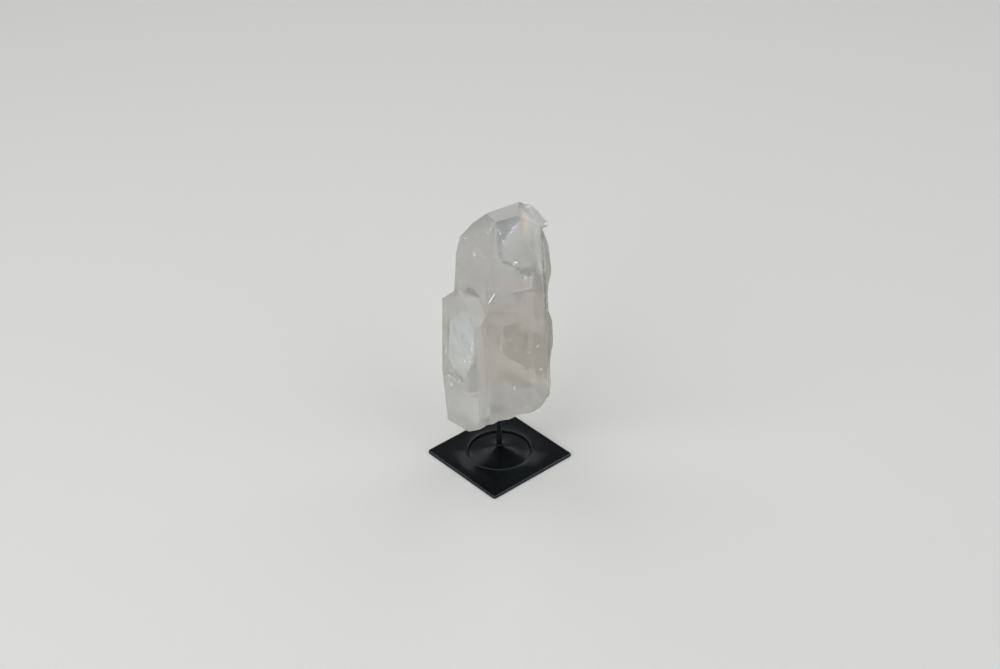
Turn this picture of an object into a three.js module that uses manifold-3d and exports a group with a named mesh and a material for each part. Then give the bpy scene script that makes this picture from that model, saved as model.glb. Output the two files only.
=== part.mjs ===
// A lemurian quartz crystal on its display stand: a square steel plate, a rod, and the crystal that the
// rod carries. Millimetres, +Z up. The origin is on the underside of the plate, at its centre.
import * as THREE from "three";
import { mergeVertices } from "three/addons/utils/BufferGeometryUtils.js";
import Module from "manifold-3d";

const wasm = await Module();
wasm.setup();

// --- Driving dimensions ---
const fitGap = 0.3; // clearance around the rod's end in both of its holes

const plateSide = 76; // a three-inch square
const plateEdgeHeight = 2;
const plateCornerRadius = 2.2;
const plateEdgeRound = 0.5; // rounding of the rim's upper edge
const lipRadius = 24; // crest of the raised ring around the cone
const lipHeight = 4.4;
const grooveWidth = 1.6; // the narrow groove just inside the ring
const grooveFloor = 2.9;
const coneHeight = 8.2; // the cone that rises from the groove to the rod
const socketFloor = 1.5; // metal left under the rod's end

const rodRadius = 2;
const collarRadius = 2.8; // weld bead where the rod stands on the cone
const collarHeight = 1.8;

const crystalFoot = 41; // height of the crystal's broken foot over the table
const crystalTurn = 50; // degrees that the crystal is turned on its rod
const rodReach = 9; // how far the rod goes up into the crystal

const frontBearing = 24.3; // where the crystal's broad front looks
const frontReach = 14.1; // from the rod's axis to the broad front

// --- Small tools ---
const radians = THREE.MathUtils.degToRad;
const up = new THREE.Vector3(0, 0, 1);

// Repeatable irregularity between 0 and 1.
const chance = (i, j) => {
  const x = Math.sin(i * 127.1 + j * 311.7) * 43758.5453;
  return x - Math.floor(x);
};

const solidOf = (geometry) => {
  const bare = geometry.clone();
  bare.deleteAttribute("normal");
  bare.deleteAttribute("uv");
  const merged = mergeVertices(bare, 1e-4);
  return new wasm.Manifold(
    new wasm.Mesh({
      numProp: 3,
      vertProperties: new Float32Array(merged.attributes.position.array),
      triVerts: new Uint32Array(merged.index.array),
    }),
  );
};

const geometryOf = (solid) => {
  const mesh = solid.getMesh();
  const geometry = new THREE.BufferGeometry();
  geometry.setAttribute("position", new THREE.BufferAttribute(mesh.vertProperties, 3));
  geometry.setIndex(new THREE.BufferAttribute(mesh.triVerts, 1));
  geometry.computeVertexNormals();
  return geometry;
};

const pieceOf = (name, geometry, look) => {
  const mesh = new THREE.Mesh(geometry, new THREE.MeshStandardMaterial(look));
  mesh.name = name;
  return mesh;
};

// A direction by its bearing, with 0 toward the front (-Y) and 90 toward +X, and its rise over the horizon.
const toward = (bearing, rise) => {
  const level = Math.cos(radians(rise));
  return new THREE.Vector3(
    Math.sin(radians(bearing)) * level,
    -Math.cos(radians(bearing)) * level,
    Math.sin(radians(rise)),
  );
};

// --- Crystal growth: a block from which each face cuts away what lies beyond it ---
const stockWidth = 200;
const stockHeight = 300;
const cutSize = 500; // larger than the stock in every direction

// A face is [bearing, rise, reach]: where it looks, in degrees, and how far it lies from the crystal's
// heart. Heights start at the broken foot.
const beyondFace = (heart, [bearing, rise, reach]) => {
  const block = new THREE.BoxGeometry(cutSize, cutSize, cutSize);
  block.translate(0, 0, cutSize / 2 + reach);
  block.applyQuaternion(new THREE.Quaternion().setFromUnitVectors(up, toward(bearing, rise)));
  block.translate(heart.x, heart.y, heart.z);
  return solidOf(block);
};

const growCrystal = (heart, faces) => {
  const stock = new THREE.BoxGeometry(stockWidth, stockWidth, stockHeight);
  stock.translate(heart.x, heart.y, heart.z);
  return faces.reduce((solid, face) => solid.subtract(beyondFace(heart, face)), solidOf(stock));
};

// The six sides of quartz look 60 degrees apart. They are counted from the broad front toward the right.
const sideway = (count) => frontBearing + 60 * count;
const tipRise = 38.2; // how far quartz's pointed end faces look up

const mainHeart = new THREE.Vector3(0, 0, 90);
const mainSides = {
  front: [sideway(0), 0, frontReach],
  right: [sideway(1), 2, 34.6],
  rightBack: [sideway(2), 2.5, 34],
  back: [sideway(3), 1.5, 15],
  left: [sideway(4), 3.7, 28.7],
  leftFront: [sideway(5), 6.6, 18.7],
};
const rightRoof = [150, 45.3, 67.2]; // slope behind the right shoulder
const mainTop = [
  [19.8, 64.7, 76.1], // bright facet over the front
  [61, 36.8, 61.6], // right shoulder
  [54, 2.7, 28.7], // sliver down the right front edge
  [-110, 13.3, 34.4], // the left shoulder curves over in three steps
  [-135, 36.2, 47.5],
  [-147, 43.5, 52],
  [-151.2, 48, 56.8], // long slope behind the ridge
  rightRoof,
];
const mainFoot = [
  [sideway(5), 0, 23], // the left front stands upright where the side crystal covers it
  [-170, -42, 68], // broken corner at the back
];
const brokenCorner = [84, -36.6, 77.5]; // lower right, ledges and all

const sideHeart = new THREE.Vector3(0, 0, 51);
const sideLeft = [sideway(4), 2.4, 37.7];
const sideFaces = [
  [sideway(0), 0, frontReach + 2.2], // narrow right front
  [sideway(5), 0, 27.8], // broad left front
  sideLeft,
  [sideway(4), -3.1, 38.7],
  [sideway(3), 1.5, 11],
  [sideway(2), 0, 0],
  [54, 1.7, 6.4], // the narrow strip beside the broad front
  [54, -2.5, 7.4],
  [26.9, 24.3, 29.4], // the tip's facet over the right front
  [174.4, 27.9, 14.3], // the tip's back
  [-126, -80.3, 57], // the lower end is a shallow wedge
  [54, -59, 45.2],
];

// Smaller points that grew up the back, parallel to the main crystal. Each stands against a face of it,
// that many millimetres along the face, sunk by a part of its radius.
const sunk = 0.45;
const backPoints = [
  { face: mainSides.back, along: -17, radius: 12, tip: 101 },
  { face: mainSides.back, along: 16, radius: 15, tip: 82 },
  { face: mainSides.back, along: 27, radius: 9, tip: 118 },
  { face: mainSides.rightBack, along: 11, radius: 7, tip: 92 },
  { face: mainSides.rightBack, along: 18, radius: 6, tip: 58 },
  { face: mainSides.left, along: -3, radius: 6, tip: 74 },
];

const quartzPoint = ({ face: [bearing, , reach], along, radius, tip }) => {
  const out = toward(bearing, 0);
  const heart = new THREE.Vector3().crossVectors(out, up).multiplyScalar(along);
  heart.addScaledVector(out, reach - sunk * radius).setZ(tip / 2);
  const faces = [];
  for (let i = 0; i < 6; i++) {
    const looks = sideway(i);
    faces.push([looks, 1, radius * (0.8 + 0.35 * chance(i, tip))]);
    // Larger and smaller tip faces take turns.
    const lowered = i % 2 ? 0.1 * radius : 0.12 * radius * chance(i, radius);
    faces.push([looks, tipRise, (tip / 2) * Math.sin(radians(tipRise)) - lowered]);
  }
  return growCrystal(heart, faces);
};

// --- The broken foot: conchoidal waves and splinters ---
const footBreak = () => {
  const width = 100;
  const depth = 100;
  const columns = 24;
  const rows = 24;
  const height = 200;
  const block = new THREE.BoxGeometry(width, depth, height, columns, rows, 1);
  const place = block.attributes.position;
  for (let i = 0; i < place.count; i++) {
    if (place.getZ(i) < 0) continue;
    const x = place.getX(i);
    const y = place.getY(i);
    const wave = Math.abs(Math.sin(Math.hypot(x + 34, y + 26) * 0.21)) * 1.5;
    const splinter = chance(Math.round(x * 3), Math.round(y * 3)) * 1.1;
    place.setZ(i, height / 2 + wave + splinter - 1.4);
  }
  block.translate(0, 0, -height / 2);
  return solidOf(block);
};

// --- Growth ledges: stacked slabs with scalloped edges down the right flank ---
// A slab in the plane of the broad front, from its edge outline of [along, height] points and two reaches
// from the rod's axis.
const ledge = ({ edge, nearReach, farReach }) => {
  const corners = [[ledgeRoot, edge[0][1]], ...edge, [ledgeRoot, edge.at(-1)[1]]];
  const shape = new THREE.Shape(corners.map(([along, height]) => new THREE.Vector2(along, height)));
  const slab = new THREE.ExtrudeGeometry(shape, {
    depth: nearReach - farReach - 2 * ledgeBevel,
    bevelSize: ledgeBevel,
    bevelThickness: ledgeBevel,
    bevelOffset: -ledgeBevel,
    bevelSegments: 1,
  });
  slab.rotateX(Math.PI / 2);
  slab.translate(0, -farReach - ledgeBevel, 0);
  slab.rotateZ(radians(frontBearing));
  return solidOf(slab);
};

const ledgeRoot = 24; // inside the main crystal
const ledgeBevel = 0.8;
const nearLedge = [
  [36.9, 15], [37.7, 31], [38.6, 42], [40.2, 49], [40.6, 56], [39.8, 72], [37.2, 81], [36.8, 96],
  [37.7, 103.5], [39.6, 110], [39.9, 114.5], [38.7, 128], [38.3, 134], [35.7, 142.5], [33.6, 149],
];
// The ledges behind it keep its run, each set in a little more, with chips of their own.
const ledgeBehind = (setIn, seed) =>
  nearLedge.map(([along, height], i) => [
    along - setIn - 1.5 * chance(i, seed),
    height + 5 * (chance(i, seed + 1) - 0.5),
  ]);
const ledges = [
  { edge: nearLedge, nearReach: 10.5, farReach: 3 },
  { edge: ledgeBehind(0.2, 5), nearReach: 5, farReach: -3 },
  { edge: ledgeBehind(1.6, 8), nearReach: -1, farReach: -9 },
];

// --- Small tabular crystal across the right shoulder ---
const tabletBearing = 45;
const tabletRise = 20;
const tabletThickness = 14; // its back is inside the main crystal
const tabletBevel = 1.6;
const tabletProud = 2; // how far it stands over the roof behind the right shoulder
const tabletPlace = new THREE.Vector3(31, 2.5, 160.5); // middle of its front face
const tabletOutline = [
  [-0.2, 9.3], [9.4, -7.3], [7.5, -10.4], [3.1, -9.9], [-1.3, -7.9], [-4.1, -2.9], [-8, 9.4], [-6.4, 10.6],
];

const tablet = () => {
  const shape = new THREE.Shape(tabletOutline.map(([x, y]) => new THREE.Vector2(x, y)));
  const slab = new THREE.ExtrudeGeometry(shape, {
    depth: tabletThickness - 2 * tabletBevel,
    bevelSize: tabletBevel,
    bevelThickness: tabletBevel,
    bevelOffset: -tabletBevel,
    bevelSegments: 1,
  });
  slab.translate(0, 0, tabletBevel - tabletThickness);
  slab.rotateX(Math.PI / 2 - radians(tabletRise));
  slab.rotateZ(radians(tabletBearing));
  slab.translate(tabletPlace.x, tabletPlace.y, tabletPlace.z);
  const [bearing, rise, reach] = rightRoof;
  return solidOf(slab).subtract(beyondFace(mainHeart, [bearing, rise, reach + tabletProud]));
};

// --- Striations: level grooves up a face, pointed at both ends, which give the crystal its ladder look ---
const groove = (heart, [bearing, rise, reach], height, tall, deep, middle, long) => {
  const cut = new THREE.OctahedronGeometry(1);
  cut.scale(deep, tall / 2, long / 2);
  // Out of the face, up it, and along it.
  const out = toward(bearing, rise);
  const along = new THREE.Vector3().crossVectors(out, up).normalize();
  const slope = new THREE.Vector3().crossVectors(along, out);
  const place = heart.clone().addScaledVector(out, reach);
  place.addScaledVector(slope, (height - place.z) / slope.z).addScaledVector(along, middle);
  cut.applyMatrix4(new THREE.Matrix4().makeBasis(out, slope, along).setPosition(place));
  return solidOf(cut);
};

const mainLadders = [
  { face: mainSides.left, from: 60, to: 132, middle: 0, span: 18, deepest: 0.4 },
  { face: mainSides.rightBack, from: 6, to: 140, middle: 11, span: 24, deepest: 0.5 },
  { face: mainSides.back, from: 66, to: 136, middle: 6, span: 60, deepest: 0.45 },
];
const sideLadder = { face: sideLeft, from: 46, to: 98, middle: 0, span: 20, deepest: 0.4 };

const cutLadder = (solid, heart, { face, from, to, middle, span, deepest }) => {
  let height = from;
  let rung = from;
  while (height < to) {
    const tall = 1 + 1.6 * chance(rung, 3);
    const deep = deepest * (0.4 + 0.6 * chance(rung, 4));
    const long = span * (0.7 + 0.9 * chance(rung, 5));
    const shift = middle + span * 0.5 * (chance(rung, 6) - 0.5);
    solid = solid.subtract(groove(heart, face, height, tall, deep, shift, long));
    height += tall + 2.6 * chance(rung, 7);
    rung += 1;
  }
  return solid;
};

// --- The crystal, grown together into one solid ---
const buildCrystal = () => {
  let main = growCrystal(mainHeart, [...Object.values(mainSides), ...mainTop, ...mainFoot]);
  for (const ladder of mainLadders) main = cutLadder(main, mainHeart, ladder);
  for (const point of backPoints) main = main.add(quartzPoint(point));
  for (const slab of ledges) main = main.add(ledge(slab));
  main = main.subtract(footBreak()).subtract(beyondFace(mainHeart, brokenCorner)).add(tablet());
  const side = cutLadder(growCrystal(sideHeart, sideFaces), sideHeart, sideLadder);
  const holeRadius = rodRadius + fitGap;
  const drillLength = 40;
  const drill = new THREE.CylinderGeometry(holeRadius, holeRadius, drillLength, 20);
  drill.rotateX(Math.PI / 2);
  drill.translate(0, 0, rodReach + fitGap - drillLength / 2);
  return main.add(side).subtract(solidOf(drill));
};

// --- The stand ---
// Rounded square outline, as points going around.
const squareOutline = (side, corner) => {
  const cornerSteps = 4;
  const sideSteps = 10;
  const inner = side / 2 - corner;
  const points = [];
  for (let quarter = 0; quarter < 4; quarter++) {
    const turn = (quarter * Math.PI) / 2;
    const at = (x, y) => points.push(new THREE.Vector2(x, y).rotateAround(new THREE.Vector2(), turn));
    for (let i = 1; i < sideSteps; i++) at(side / 2, -inner + (2 * inner * i) / sideSteps);
    for (let i = 0; i <= cornerSteps; i++) {
      const angle = (Math.PI / 2) * (i / cornerSteps);
      at(inner + corner * Math.cos(angle), inner + corner * Math.sin(angle));
    }
  }
  return points;
};

// Rings of points from the underside's rim, over the top, and down into the socket.
const buildPlate = () => {
  const outline = squareOutline(plateSide, plateCornerRadius);
  const ring = (scale, z) => outline.map((p) => [p.x * scale(p), p.y * scale(p), z]);
  const edge = (inset, z) => ring(() => 1 - inset / (plateSide / 2), z);
  const circle = (radius, z) => ring((p) => radius / p.length(), z);
  const between = (t, z) => {
    const outer = edge(plateEdgeRound, 0);
    const inner = circle(lipRadius, 0);
    return outer.map(([x, y], i) => [x + (inner[i][0] - x) * t, y + (inner[i][1] - y) * t, z]);
  };
  const rise = lipHeight - plateEdgeHeight;
  const rings = [
    edge(0, 0),
    edge(0, plateEdgeHeight - plateEdgeRound),
    edge(plateEdgeRound * 0.3, plateEdgeHeight - plateEdgeRound * 0.3),
    edge(plateEdgeRound, plateEdgeHeight),
    ...[0.35, 0.7, 0.9].map((t) => between(t, plateEdgeHeight + rise * t * t)),
    circle(lipRadius, lipHeight),
    circle(lipRadius - 0.5, lipHeight - 0.3),
    circle(lipRadius - 0.9, grooveFloor),
    circle(lipRadius - grooveWidth, grooveFloor),
    circle(lipRadius - grooveWidth - 0.6, grooveFloor + 0.5),
    circle(lipRadius / 2, grooveFloor + 2.4),
    circle(collarRadius + 0.6, coneHeight),
    circle(rodRadius + fitGap, coneHeight),
    circle(rodRadius + fitGap, socketFloor),
  ];
  const positions = rings.flat(2);
  const count = outline.length;
  const bottomMiddle = positions.length / 3;
  positions.push(0, 0, 0, 0, 0, socketFloor);
  const faces = [];
  for (let j = 0; j < count; j++) {
    const k = (j + 1) % count;
    faces.push(bottomMiddle, k, j);
    for (let step = 0; step + 1 < rings.length; step++) {
      const low = step * count;
      const high = low + count;
      faces.push(low + j, low + k, high + k, low + j, high + k, high + j);
    }
    const last = (rings.length - 1) * count;
    faces.push(last + j, last + k, bottomMiddle + 1);
  }
  const geometry = new THREE.BufferGeometry();
  geometry.setAttribute("position", new THREE.Float32BufferAttribute(positions, 3));
  geometry.setIndex(faces);
  geometry.computeVertexNormals();
  return geometry;
};

const buildRod = () => {
  const bottom = socketFloor + fitGap;
  const seat = coneHeight + fitGap;
  const profile = [
    [0, bottom],
    [rodRadius, bottom],
    [rodRadius, seat],
    [collarRadius, seat],
    [collarRadius, seat + collarHeight * 0.3],
    [rodRadius, seat + collarHeight],
    [rodRadius, crystalFoot + rodReach - 0.5],
    [rodRadius - 0.5, crystalFoot + rodReach],
    [0, crystalFoot + rodReach],
  ];
  const rod = new THREE.LatheGeometry(profile.map(([r, z]) => new THREE.Vector2(r, z)), 24);
  rod.rotateX(Math.PI / 2);
  return geometryOf(solidOf(rod));
};

// --- Assembly ---
const part = new THREE.Group();
const blackEnamel = { color: 0x0a0b0d, roughness: 0.25, metalness: 0.6 };
part.add(pieceOf("base_plate", buildPlate(), blackEnamel));
part.add(pieceOf("support_rod", buildRod(), blackEnamel));

const onStand = new THREE.Group();
onStand.position.z = crystalFoot;
onStand.rotation.z = radians(crystalTurn);
const quartz = { color: 0xd9dad4, roughness: 0.08, metalness: 0 };
onStand.add(pieceOf("quartz_crystal", geometryOf(buildCrystal()), quartz));
part.add(onStand);

export default part;
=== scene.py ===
"""The looks of a lemurian quartz crystal on its black display stand: the finished crystal with what shows
inside it, the enamelled stand, a pale studio and a camera. Lengths are in metres, as in the frame, but the
films, ribbons and flecks in and on the crystal are laid out in millimetres."""
import math
import random

import bmesh
import bpy
from mathutils import Matrix, Vector, noise
from mathutils.bvhtree import BVHTree


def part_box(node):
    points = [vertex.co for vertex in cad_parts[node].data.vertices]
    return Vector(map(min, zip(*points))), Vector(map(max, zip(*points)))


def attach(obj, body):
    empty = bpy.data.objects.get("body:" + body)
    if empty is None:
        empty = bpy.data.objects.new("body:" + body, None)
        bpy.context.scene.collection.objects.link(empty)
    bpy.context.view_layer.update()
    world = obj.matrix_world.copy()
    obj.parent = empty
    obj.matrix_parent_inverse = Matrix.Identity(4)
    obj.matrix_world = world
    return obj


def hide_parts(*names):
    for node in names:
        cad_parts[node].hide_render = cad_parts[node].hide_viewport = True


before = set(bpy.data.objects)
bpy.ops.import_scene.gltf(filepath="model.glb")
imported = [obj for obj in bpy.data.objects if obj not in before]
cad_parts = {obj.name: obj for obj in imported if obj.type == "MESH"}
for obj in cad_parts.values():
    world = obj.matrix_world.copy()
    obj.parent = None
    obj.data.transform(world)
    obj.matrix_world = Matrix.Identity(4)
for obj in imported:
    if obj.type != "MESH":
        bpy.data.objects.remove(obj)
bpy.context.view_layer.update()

MM = 0.001

# --- Driving dimensions, as in the part ---
CRYSTAL_TURN = math.radians(50)
CRYSTAL_FOOT = 41 * MM
PLATE_SIDE = 76 * MM
PLATE_TOP = 2 * MM
PLATE_CORNER = 2.2 * MM
LIP_RADIUS = 24 * MM
LIP_HEIGHT = 4.4 * MM
GROOVE_FLOOR = 2.9 * MM
SOCKET_FLOOR = 1.5 * MM
CONE_HEIGHT = 8.2 * MM
ROD_RADIUS = 2 * MM
FIT_GAP = 0.3 * MM
MAIN_HEART = 90 * MM
SIDE_HEART = 51 * MM
# Faces: (bearing, rise, reach, heart). Bearing 0 looks toward -Y of the crystal's own frame, 90 toward its
# +X, and reach is the face's distance from the point of the crystal's axis at the height of its heart.
FRONT = (24.3, 0, 14.1 * MM, MAIN_HEART)
LEFT_FRONT = (-35.7, 6.6, 18.7 * MM, MAIN_HEART)
SIDE_FRONT = (-35.7, 0, 27.8 * MM, SIDE_HEART)
SIDE_TIP = (26.9, 24.3, 29.4 * MM, SIDE_HEART)
STRIP = (54, 1.7, 6.4 * MM, SIDE_HEART)
SHOULDER = (61, 36.8, 61.6 * MM, MAIN_HEART)
TABLET = (45, 20, 73.83 * MM, 0)
TABLET_PLACE = (31 * MM, 2.5 * MM, 160.5 * MM)


# --- Mesh tools ---
def mesh_object(name, bm, material, smooth=False):
    """A new piece from a bmesh, which it frees."""
    bmesh.ops.recalc_face_normals(bm, faces=bm.faces)
    mesh = bpy.data.meshes.new(name)
    bm.to_mesh(mesh)
    bm.free()
    for face in mesh.polygons:
        face.use_smooth = smooth
    mesh.materials.append(material)
    piece = bpy.data.objects.new(name, mesh)
    bpy.context.scene.collection.objects.link(piece)
    return piece


def on_crystal(point):
    """A point of the crystal's own frame, in the frame that the CAD and Blender share."""
    return Matrix.Rotation(CRYSTAL_TURN, 3, "Z") @ Vector(point) + Vector((0, 0, CRYSTAL_FOOT))


def face_axes(face):
    """A crystal face's outward normal, its level direction toward the right, and its distance from the foot's
    middle, in the crystal's own frame."""
    bearing, rise, reach, heart = face
    b, r = math.radians(bearing), math.radians(rise)
    normal = Vector((math.sin(b) * math.cos(r), -math.cos(b) * math.cos(r), math.sin(r)))
    along = Vector((0, 0, 1)).cross(normal).normalized()
    return normal, along, normal.z * heart + reach


def under_face(face, along, height, depth):
    """The point this far along a face and this high, at some depth below it, in the crystal's own frame."""
    normal, level, distance = face_axes(face)
    slope = normal.cross(level)
    foot = normal * (distance - depth)
    return foot + level * along + slope * ((height - foot.z) / slope.z)


# --- Node tools ---
def new_material(name):
    """A new material, its node tree and its shader."""
    material = bpy.data.materials.new(name)
    material.use_nodes = True
    nodes = material.node_tree.nodes
    return material, material.node_tree, nodes["Principled BSDF"]


def add(tree, kind, **values):
    """A node with its settings, and its unlinked inputs by name."""
    node = tree.nodes.new(kind)
    for name, value in values.items():
        if hasattr(node, name):
            setattr(node, name, value)
        else:
            node.inputs[name.replace("_", " ")].default_value = value
    return node


def noise_of(tree, place, scale, detail=4, roughness=0.5):
    node = add(tree, "ShaderNodeTexNoise", Scale=scale, Detail=detail, Roughness=roughness)
    tree.links.new(place, node.inputs["Vector"])
    return node.outputs["Fac"]


def ramp(tree, value, stops):
    """A colour ramp over (position, colour) stops; a plain number stands for a grey."""
    node = tree.nodes.new("ShaderNodeValToRGB")
    elements = node.color_ramp.elements
    while len(elements) < len(stops):
        elements.new(0.5)
    for element, (position, colour) in zip(elements, stops):
        element.position = position
        element.color = (colour,) * 3 + (1,) if isinstance(colour, (int, float)) else (*colour, 1)
    tree.links.new(value, node.inputs["Fac"])
    return node.outputs["Color"]


def math_of(tree, operation, a, b):
    """One arithmetic step on two sockets or numbers."""
    node = tree.nodes.new("ShaderNodeMath")
    node.operation = operation
    for socket, value in zip(node.inputs, (a, b)):
        if isinstance(value, (int, float)):
            socket.default_value = value
        else:
            tree.links.new(value, socket)
    return node.outputs[0]


def bump_of(tree, height, strength, distance, under=None):
    node = add(tree, "ShaderNodeBump", Strength=strength, Distance=distance)
    tree.links.new(height, node.inputs["Height"])
    if under is not None:
        tree.links.new(under, node.inputs["Normal"])
    return node.outputs["Normal"]


def place_of(tree, stretch=(1, 1, 1)):
    """Object coordinates, scaled."""
    where = tree.nodes.new("ShaderNodeTexCoord").outputs["Object"]
    node = add(tree, "ShaderNodeMapping", Scale=stretch)
    tree.links.new(where, node.inputs["Vector"])
    return node.outputs["Vector"]


# --- Materials ---
QUARTZ_IOR = 1.544
MILKY_REACH = 22 * MM


def quartz_material():
    """Clear quartz, slightly hazy and finely lined across."""
    material, tree, surface = new_material("clear_quartz")
    place = place_of(tree)
    # Warm through the middle of its height, cooler toward both ends, with a cloudy limit
    tint_height, tint_drift = 220 * MM, 60 * MM
    height = add(tree, "ShaderNodeSeparateXYZ")
    tree.links.new(place, height.inputs["Vector"])
    cloud = math_of(tree, "SUBTRACT", noise_of(tree, place, 22, 3, 0.5), 0.5)
    drifted = math_of(tree, "ADD", height.outputs["Z"], math_of(tree, "MULTIPLY", cloud, tint_drift))
    level = math_of(tree, "DIVIDE", drifted, tint_height)
    colour = ramp(tree, level, [(0.15, (0.9, 0.905, 0.89)), (0.4, (0.87, 0.85, 0.79)),
                                (0.66, (0.86, 0.845, 0.8)), (0.85, (0.88, 0.885, 0.87))])
    tree.links.new(colour, surface.inputs["Base Color"])
    haze = noise_of(tree, place, 55, 4, 0.55)
    tree.links.new(ramp(tree, haze, [(0.35, 0.28), (0.7, 0.38)]), surface.inputs["Roughness"])
    surface.inputs["IOR"].default_value = QUARTZ_IOR
    # The little tablet is milkier than the rest.
    apart = add(tree, "ShaderNodeVectorMath", operation="DISTANCE")
    tree.links.new(place, apart.inputs[0])
    apart.inputs[1].default_value = on_crystal(TABLET_PLACE)
    share = math_of(tree, "DIVIDE", apart.outputs["Value"], MILKY_REACH)
    tree.links.new(ramp(tree, share, [(0.35, 0.6), (0.75, 0.8)]), surface.inputs["Transmission Weight"])
    # Gentle waves, and fine level lines on them
    waves = bump_of(tree, noise_of(tree, place, 60, 2, 0.5), 0.3, 0.5 * MM)
    lines = noise_of(tree, place_of(tree, (20, 20, 420)), 1, 2, 0.5)
    tree.links.new(bump_of(tree, lines, 0.3, 0.15 * MM, waves), surface.inputs["Normal"])
    volume = add(tree, "ShaderNodeVolumeAbsorption", Color=(0.62, 0.6, 0.56, 1), Density=24)
    tree.links.new(volume.outputs["Volume"], tree.nodes["Material Output"].inputs["Volume"])
    return material


def veil_material(name, colours, cover, grain, gaps=(0.35, 0.4, 0.62, 1), metal=0.6):
    """A thin film: of healed fracture in most pieces, and of painted shade and painted highlight in some. It
    is mottled between two colours, and see-through where its own fade and the noise let it be. Gaps are a
    noise level and how much film is left there, then the same for dense film."""
    material, tree, surface = new_material(name)
    place = place_of(tree)
    mottle = noise_of(tree, place, grain, 4, 0.6)
    tree.links.new(ramp(tree, mottle, [(0.3, colours[0]), (0.7, colours[1])]), surface.inputs["Base Color"])
    fade = add(tree, "ShaderNodeAttribute", attribute_name="fade").outputs["Fac"]
    patches = ramp(tree, noise_of(tree, place, grain * 0.6, 5, 0.65), [gaps[:2], gaps[2:]])
    tree.links.new(math_of(tree, "MULTIPLY", math_of(tree, "MULTIPLY", fade, patches), cover),
                   surface.inputs["Alpha"])
    surface.inputs["Roughness"].default_value = 0.55
    surface.inputs["Metallic"].default_value = metal
    return material


def fleck_material():
    """The white glint of an air-filled crack."""
    material, tree, surface = new_material("white_flecks")
    glint = noise_of(tree, place_of(tree), 400, 2, 0.5)
    white = ramp(tree, glint, [(0.3, (0.93, 0.96, 0.97)), (0.7, (1, 1, 1))])
    tree.links.new(white, surface.inputs["Base Color"])
    tree.links.new(ramp(tree, glint, [(0.3, 0.25), (0.7, 0.4)]), surface.inputs["Roughness"])
    return material


def rainbow_material():
    """Thin-film colours of a fine crack, in bands across its width."""
    material, tree, surface = new_material("rainbow_crack")
    place = place_of(tree)
    across = add(tree, "ShaderNodeVectorMath", operation="DOT_PRODUCT")
    tree.links.new(place, across.inputs[0])
    across.inputs[1].default_value = Matrix.Rotation(CRYSTAL_TURN, 3, "Z") @ face_axes(FRONT)[1]
    left, right = 14 * MM, 23 * MM
    share = math_of(tree, "DIVIDE", math_of(tree, "SUBTRACT", across.outputs["Value"], left), right - left)
    wavy = math_of(tree, "ADD", share, math_of(tree, "MULTIPLY", noise_of(tree, place, 260, 3), 0.25))
    colours = ramp(tree, wavy, [(0.1, (0.86, 0.74, 0.8)), (0.25, (1, 0.62, 0.58)), (0.4, (1, 0.8, 0.55)),
                                (0.58, (1, 0.94, 0.66)), (0.78, (1, 0.99, 0.86)), (1, (0.87, 0.96, 1))])
    tree.links.new(colours, surface.inputs["Base Color"])
    fade = add(tree, "ShaderNodeAttribute", attribute_name="fade").outputs["Fac"]
    tree.links.new(math_of(tree, "MULTIPLY", fade, 0.95), surface.inputs["Alpha"])
    surface.inputs["Roughness"].default_value = 0.4
    surface.inputs["Metallic"].default_value = 0.9
    return material


def enamel_material(name, specular):
    """Black enamel, a little smeared, with a faint orange peel."""
    material, tree, surface = new_material(name)
    place = place_of(tree)
    smears = noise_of(tree, place, 45, 3, 0.55)
    colour = ramp(tree, smears, [(0.3, (0.0012, 0.0015, 0.002)), (0.7, (0.003, 0.0038, 0.0045))])
    tree.links.new(colour, surface.inputs["Base Color"])
    tree.links.new(ramp(tree, smears, [(0.3, 0.17), (0.75, 0.27)]), surface.inputs["Roughness"])
    tree.links.new(bump_of(tree, noise_of(tree, place, 240, 2), 0.12, 0.1 * MM), surface.inputs["Normal"])
    surface.inputs["Specular IOR Level"].default_value = specular
    surface.inputs["Specular Tint"].default_value = (0.82, 0.94, 1, 1)
    return material


QUARTZ = quartz_material()
ENAMEL = enamel_material("black_enamel", 0.14)
POLISHED = enamel_material("polished_enamel", 0.4)
MILKY = veil_material("milky_veil", ((0.84, 0.92, 0.98), (0.96, 0.99, 1)),
                      cover=0.98, grain=170, gaps=(0.35, 0.6, 0.6, 1), metal=0.8)
# Pale films: whitish zones in the quartz, and the painted highlight on the tablet's rim
PALE = veil_material("pale_veil_and_painted_highlight", ((0.9, 0.89, 0.86), (0.99, 0.98, 0.96)),
                     cover=0.7, grain=200, gaps=(0.3, 0.6, 0.6, 1))
WARM = veil_material("warm_veil", ((0.9, 0.86, 0.76), (0.96, 0.93, 0.84)),
                     cover=0.65, grain=120, gaps=(0.3, 0.7, 0.6, 1))
MILKY_WARM = veil_material("milky_warm_veil", ((0.9, 0.88, 0.8), (0.98, 0.96, 0.9)),
                           cover=0.6, grain=120, gaps=(0.3, 0.75, 0.6, 1))
SMOKY = veil_material("smoky_veil", ((0.57, 0.54, 0.42), (0.68, 0.59, 0.48)),
                      cover=0.5, grain=45, gaps=(0.3, 0.8, 0.6, 1), metal=0.2)
# Grey films: dark patches in the quartz, and painted shade on the shoulder and the tablet
GREY = veil_material("grey_veil_and_painted_shade", ((0.28, 0.34, 0.37), (0.5, 0.55, 0.57)),
                     cover=0.55, grain=260, gaps=(0.35, 0.4, 0.6, 1), metal=0)
BLOTCHED = veil_material("blotched_veil", ((0.24, 0.28, 0.3), (0.46, 0.5, 0.52)),
                         cover=0.75, grain=800, gaps=(0.42, 0, 0.56, 1), metal=0)
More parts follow.
